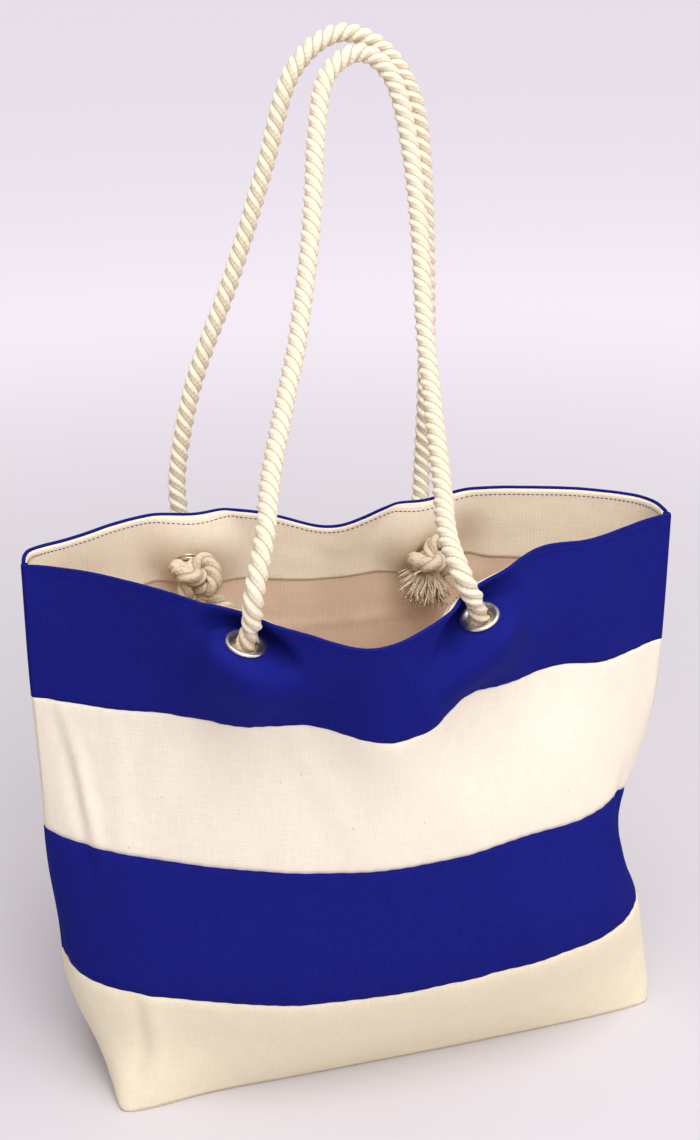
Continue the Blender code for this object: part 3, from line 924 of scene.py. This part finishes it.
class BAG_OT_frayed_tail(bpy.types.Operator):
    """Makes the loose yarns where the back right rope end has come unlaid"""

    bl_idname = "beach_bag.frayed_tail"
    bl_label = "Frayed tail"

    def execute(self, context):
        chance = random.Random(7)
        root = Vector(knot_line("back", "right")[-1]) + YARN_ROOT
        shape = bmesh.new()
        for k in range(YARNS):
            bunch = YARN_BUNCHES[k % 2]
            loose = Vector([chance.gauss(0, YARN_SPREAD) for _ in range(3)])
            way = (bunch + loose).normalized()
            aside = way.cross((0, 0, 1)).normalized()
            reach = chance.uniform(0.014, 0.022)
            wave, phase = chance.uniform(0.0010, 0.0026), chance.uniform(0, 6.28)
            thick = chance.uniform(0.0005, 0.0008)
            begin = root + loose * 0.008 + bunch * 0.002
            line = []
            for t in np.linspace(0, 1, 8):
                sway = wave * math.sin(phase + 7 * t) * t
                sag = Vector((0, 0, -YARN_SAG * t * t))
                line.append(begin + way * reach * t + aside * sway + sag)
            ring = bmesh.ops.create_circle(shape, segments=5, radius=thick, cap_ends=True)["verts"]
            turn = way.to_track_quat("Z", "Y").to_matrix().to_4x4()
            bmesh.ops.transform(shape, matrix=Matrix.Translation(line[0]) @ turn, verts=ring)
            face = ring[0].link_faces[0]
            for before, after in zip(line, line[1:]):
                grown = bmesh.ops.extrude_face_region(shape, geom=[face])["geom"]
                moved = [g for g in grown if isinstance(g, bmesh.types.BMVert)]
                bmesh.ops.translate(shape, vec=after - before, verts=moved)
                old = face
                face = next(g for g in grown if isinstance(g, bmesh.types.BMFace))
                if before is not line[0]:
                    shape.faces.remove(old)
        bmesh.ops.recalc_face_normals(shape, faces=shape.faces[:])
        unwrap(shape, lambda vertex: (YARN_SHADE, vertex.co.z))
        mesh = finished_mesh("frayed_tail", shape)
        put_in_place("frayed_tail", mesh, "knot_cotton_shaded", "bag")
        return {"FINISHED"}


class BAG_OT_canvas(bpy.types.Operator):
    """Makes the four sewn stripes of each wide side"""

    bl_idname = "beach_bag.canvas"
    bl_label = "Canvas stripes"

    def execute(self, context):
        stripes = (
            ("top_band", "navy_canvas"),
            ("upper_cream", "cream_canvas"),
            ("lower_band", "navy_canvas"),
            ("bottom_cream", "bottom_canvas"),
        )
        for side in ("front", "back"):
            for k, (stripe, finish) in enumerate(stripes):
                top, bottom = k * STRIPE, (k + 1) * STRIPE
                name = f"{side}_{stripe}_cloth"
                top += 0.0010 if k == 0 else -0.0001
                bottom = min(bottom, PANEL_HEIGHT - 0.0004)
                made = cloth_piece(
                    name, side, top, bottom, 0.0, CANVAS, finish, replaced=(f"{side}_{stripe}",)
                )
                if k == 0:
                    cut_holes(made, side)
        return {"FINISHED"}


def cut_holes(made, side):
    """Cuts the round holes for the eyelets' barrels by taking out the faces inside them."""
    shape = bmesh.new()
    shape.from_mesh(made.data)
    inside = []
    for hand in HANDS:
        centre = FRAMES[side, hand][0]
        for face in shape.faces:
            if (face.calc_center_median() - centre).length < HOLE_RADIUS:
                inside.append(face)
    bmesh.ops.delete(shape, geom=inside, context="FACES")
    shape.to_mesh(made.data)
    shape.free()


class BAG_OT_rim(bpy.types.Operator):
    """Makes the folded edge of the canvas along the rim, and the stitches that hold the facing"""

    bl_idname = "beach_bag.rim"
    bl_label = "Rim"

    def execute(self, context):
        stitch = context.scene.bag_cloth.stitch
        for side in ("front", "back"):
            places = np.linspace(-0.999, 0.999, 260)
            grid = folded(side, places, np.array([0.001, 0.002, 0.003]) / PANEL_HEIGHT)
            normal = outward(side, grid)[0]
            along = np.gradient(grid[0], axis=0)
            along /= np.linalg.norm(along, axis=1, keepdims=True)
            up = np.cross(along, normal) if side == "back" else np.cross(normal, along)
            up *= np.sign(up[:, 2:3])
            angle = np.linspace(0, 2 * math.pi, TUBE_CORNERS)[None, :]
            middle = grid[0] - normal * 0.0011
            points = tube_points(middle, normal * 0.0014, up * 0.0013, angle)
            uvs = np.stack(np.meshgrid(run_along(middle), angle[0] * 0.001, indexing="ij"), axis=-1)
            name = f"{side}_rim_fold"
            put_in_place(name, grid_mesh(name, points, uvs, True), "navy_canvas", "bag")
            depth = CANVAS + LAYER_GAP + LINING
            name = f"{side}_rim_stitches"
            stitch_row(f"{name}_inside", side, -depth - 0.0001, stitch, "navy_canvas")
            stitch_row(f"{name}_outside", side, 0.0001, stitch, "navy_canvas")
        return {"FINISHED"}


class BAG_OT_inside(bpy.types.Operator):
    """Makes the facing, the lining and the lined bottom"""

    bl_idname = "beach_bag.inside"
    bl_label = "Facing and lining"

    def execute(self, context):
        inset = CANVAS + LAYER_GAP
        for side in ("front", "back"):
            facing = cloth_piece(
                f"{side}_facing_cloth",
                side,
                0.0016,
                FACING_HEIGHT,
                inset,
                LINING,
                "facing_cloth",
                replaced=(f"{side}_facing",),
            )
            cut_holes(facing, side)
            cloth_piece(
                f"{side}_lining_cloth",
                side,
                FACING_HEIGHT - 0.006,
                PANEL_HEIGHT - 0.0050,
                inset - 0.0002,
                0.0008,
                "lining_cloth",
                step=0.0040,
                replaced=(f"{side}_lining",),
            )
        places = np.linspace(-1.0, 1.0, 120)
        front, back = (folded(side, places, [0.998, 1.0])[1] for side in ("front", "back"))
        outline = np.concatenate([front, back[::-1][1:-1]])
        middle = outline.mean(axis=0)
        for name, inset, low, high, finish in (
            ("bottom_panel", 0.0003, 0.0, CANVAS, "bottom_canvas"),
            ("bottom_lining", 0.0045, 0.0031, 0.0043, "lining_cloth"),
        ):
            shape = bmesh.new()
            away = outline - middle
            ring = middle + away * (1 - inset / np.linalg.norm(away, axis=1, keepdims=True))
            corners = [shape.verts.new((x, y, low)) for x, y, _ in ring]
            floor = shape.faces.new(corners)
            grown = bmesh.ops.extrude_face_region(shape, geom=[floor])["geom"]
            moved = [g for g in grown if isinstance(g, bmesh.types.BMVert)]
            bmesh.ops.translate(shape, vec=(0, 0, high - low), verts=moved)
            bmesh.ops.recalc_face_normals(shape, faces=shape.faces[:])
            unwrap(shape, lambda vertex: (vertex.co.x, vertex.co.y))
            mesh = finished_mesh(f"{name}_cloth", shape)
            put_in_place(f"{name}_cloth", mesh, finish, "bag", (name,), smooth=False)
        return {"FINISHED"}


def edge_line(side, sign, drops):
    """Points down one side edge of a panel: the left one for a negative sign."""
    return folded(side, [-1.0, 1.0], drops)[:, 0 if sign < 0 else 1]


class BAG_OT_side_seams(bpy.types.Operator):
    """Makes the sewn edge down each side and the raw seam allowance inside it"""

    bl_idname = "beach_bag.side_seams"
    bl_label = "Side seams"

    def execute(self, context):
        names = ("navy_canvas", "cream_canvas", "navy_canvas", "bottom_canvas")
        for hand, sign in HANDS.items():
            for k, finish in enumerate(names):
                top = k * STRIPE + 0.0008 * (k == 0)
                bottom = (k + 1) * STRIPE - 0.0004 * (k == 3)
                drops = np.linspace(top, bottom, 40) / PANEL_HEIGHT
                front, back = (edge_line(side, sign, drops) for side in ("front", "back"))
                middle = (front + back) / 2
                spread = (back - front) / 2
                spread *= 1 - 0.0007 / np.linalg.norm(spread, axis=1, keepdims=True)
                out = np.cross(spread, (0, 0, 1.0))
                out *= np.sign((out * [[sign, 0, 0]]).sum(1, keepdims=True))
                out *= 0.0022 / np.linalg.norm(out, axis=1, keepdims=True)
                angle = np.linspace(0, 2 * math.pi, TUBE_CORNERS)[None, :]
                points = tube_points(middle - out * 0.8, spread, out * 1.2, angle)
                uvs = np.stack(np.meshgrid(angle[0] * 0.002, drops * PANEL_HEIGHT), axis=-1)
                name = f"{hand}_edge_{k + 1}"
                put_in_place(name, grid_mesh(name, points, uvs, True), finish, "bag")
            drops = np.linspace(0.0030, PANEL_HEIGHT - 0.0060, 160) / PANEL_HEIGHT
            front, back = (edge_line(side, sign, drops) for side in ("front", "back"))
            middle = (front + back) / 2
            inward = np.array([-sign * math.cos(math.radians(4)), 0.0, 0.0])
            widths = np.linspace(0.0045, 0.0145, 6)
            points = middle[:, None, :] + widths[None, :, None] * inward
            for i, z in enumerate(drops):
                fray = 0.0009 * noise.noise((z * 160, sign, 0.5))
                sway = 0.0012 * noise.noise((z * 30, sign, 2.5))
                points[i, :, 1] += sway * np.linspace(0.2, 1.0, 6)
                points[i, -1, 0] += fray * sign
            uvs = np.stack(np.meshgrid(widths, drops * PANEL_HEIGHT), axis=-1)
            name = f"{hand}_seam_allowance"
            replaced = (f"{hand}_side_seam",)
            made = put_in_place(name, grid_mesh(name, points, uvs), "lining_cloth", "bag", replaced)
            shell = made.modifiers.new("thickness", "SOLIDIFY")
            shell.thickness = 0.0012
            shell.offset = 0.0
        return {"FINISHED"}


class BAG_OT_eyelets(bpy.types.Operator):
    """Makes the dished nickel eyelets and their clinched washers"""

    bl_idname = "beach_bag.eyelets"
    bl_label = "Eyelets"

    def execute(self, context):
        steps = context.scene.bag_metal.steps
        back = -(CANVAS + LAYER_GAP + LINING)
        eyelet = (
            (0.0078, back - 0.0010), (0.0080, 0.0000), (0.0083, 0.0007),
            (0.0090, 0.0012), (0.0100, 0.0017), (0.0112, 0.0022),
            (0.0122, 0.0026), (0.0131, 0.0027), (0.0138, 0.0023),
            (0.0142, 0.0015), (0.01425, 0.0006), (0.0139, 0.0001),
            (0.0130, 0.0001), (0.0086, 0.0001), (0.0085, back - 0.0008),
            (0.0110, back - 0.0010), (0.0112, back - 0.0016), (0.0088, back - 0.0018),
        )
        washer = (
            (0.0086, back - 0.0001), (0.0137, back - 0.0001), (0.0140, back - 0.0006),
            (0.0137, back - 0.0011), (0.0120, back - 0.0014), (0.0100, back - 0.0010),
            (0.0086, back - 0.0008),
        )
        for side, hand in EYELETS:
            matrix = eyelet_matrix(side, hand)
            for kind, outline in (("eyelet", eyelet), ("washer", washer)):
                name = f"{side}_{hand}_{kind}"
                turned_piece(f"{name}_metal", outline, steps, matrix, "nickel", (name,))
        return {"FINISHED"}


class BAG_OT_stage(bpy.types.Operator):
    """Makes the wide pale floor, which glows more with distance from the bag as painted light, and the soft
    studio lights
    """

    bl_idname = "beach_bag.stage"
    bl_label = "Stage"

    def execute(self, context):
        shape = bmesh.new()
        under = Matrix.Translation((0, 0, -0.0005))
        bmesh.ops.create_circle(shape, segments=96, radius=30.0, cap_ends=True, matrix=under)
        mesh = finished_mesh("floor", shape)
        made = bpy.data.objects.new("floor", mesh)
        context.scene.collection.objects.link(made)
        glowing_floor_material, tree, shader = new_material("pale_floor_painted_glow")
        where = node(tree, "ShaderNodeTexCoord")
        away = node(tree, "ShaderNodeVectorMath", operation="LENGTH")
        tree.links.new(where.outputs["Object"], away.inputs[0])
        # Painted light: the floor glows, not at all near the bag and fully from 2.7 m away.
        far = node(tree, "ShaderNodeMapRange", interpolation_type="SMOOTHSTEP")
        far.inputs["From Min"].default_value = 0.3
        far.inputs["From Max"].default_value = 2.7
        tree.links.new(away.outputs["Value"], far.inputs["Value"])
        shader.inputs["Base Color"].default_value = (0.66, 0.625, 0.655, 1.0)
        shader.inputs["Emission Color"].default_value = (0.50, 0.455, 0.505, 1.0)
        tree.links.new(far.outputs[0], shader.inputs["Emission Strength"])
        shader.inputs["Roughness"].default_value = 0.95
        shader.inputs["Specular IOR Level"].default_value = 0.1
        mesh.materials.append(glowing_floor_material)
        world = bpy.data.worlds.new("studio")
        world.use_nodes = True
        world.node_tree.nodes["Background"].inputs[0].default_value = (0.96, 0.94, 1.0, 1.0)
        world.node_tree.nodes["Background"].inputs[1].default_value = 0.46
        context.scene.world = world
        for name, place, size, power, tint in (
            ("key", (0.0, -2.6, 2.3), 1.6, 49.0, (1.0, 0.98, 0.97)),
            ("fill", (2.2, -1.6, 1.6), 2.2, 16.0, (0.95, 0.96, 1.0)),
            ("top", (0.0, -0.5, 2.5), 1.6, 36.0, (1.0, 0.99, 0.98)),
        ):
            data = bpy.data.lights.new(name, "AREA")
            data.size = size
            data.energy = power
            data.color = tint
            lamp = bpy.data.objects.new(name, data)
            context.scene.collection.objects.link(lamp)
            lamp.location = place
            aim = Vector((0, 0, 0.3)) - Vector(place)
            lamp.rotation_euler = aim.to_track_quat("-Z", "Y").to_euler()
        context.scene.view_settings.view_transform = "Standard"
        return {"FINISHED"}


OPERATORS = (
    BAG_OT_camera,
    BAG_OT_handles,
    BAG_OT_knots,
    BAG_OT_frayed_tail,
    BAG_OT_canvas,
    BAG_OT_rim,
    BAG_OT_inside,
    BAG_OT_side_seams,
    BAG_OT_eyelets,
    BAG_OT_stage,
)


class BAG_PT_panel(bpy.types.Panel):
    """Lists the bag's sizes, colours and pieces"""

    bl_label = "Beach Bag"
    bl_idname = "BAG_PT_panel"
    bl_space_type = "VIEW_3D"
    bl_region_type = "UI"
    bl_category = "Beach Bag"

    def draw(self, context):
        scene = context.scene
        for group in (scene.bag_cloth, scene.bag_rope, scene.bag_metal):
            for name in group.bl_rna.properties.keys():
                if name not in ("rna_type", "name"):
                    self.layout.prop(group, name)
        for operator in OPERATORS:
            self.layout.operator(operator.bl_idname)


CLASSES = (BagCloth, BagRope, BagMetal, *OPERATORS, BAG_PT_panel)


def register():
    for each in CLASSES:
        bpy.utils.register_class(each)
    bpy.types.Scene.bag_cloth = PointerProperty(type=BagCloth)
    bpy.types.Scene.bag_rope = PointerProperty(type=BagRope)
    bpy.types.Scene.bag_metal = PointerProperty(type=BagMetal)


def unregister():
    del bpy.types.Scene.bag_metal
    del bpy.types.Scene.bag_rope
    del bpy.types.Scene.bag_cloth
    for each in reversed(CLASSES):
        bpy.utils.unregister_class(each)


def main():
    register()
    for operator in OPERATORS:
        group, name = operator.bl_idname.split(".")
        getattr(getattr(bpy.ops, group), name)()


if __name__ == "__main__":
    main()
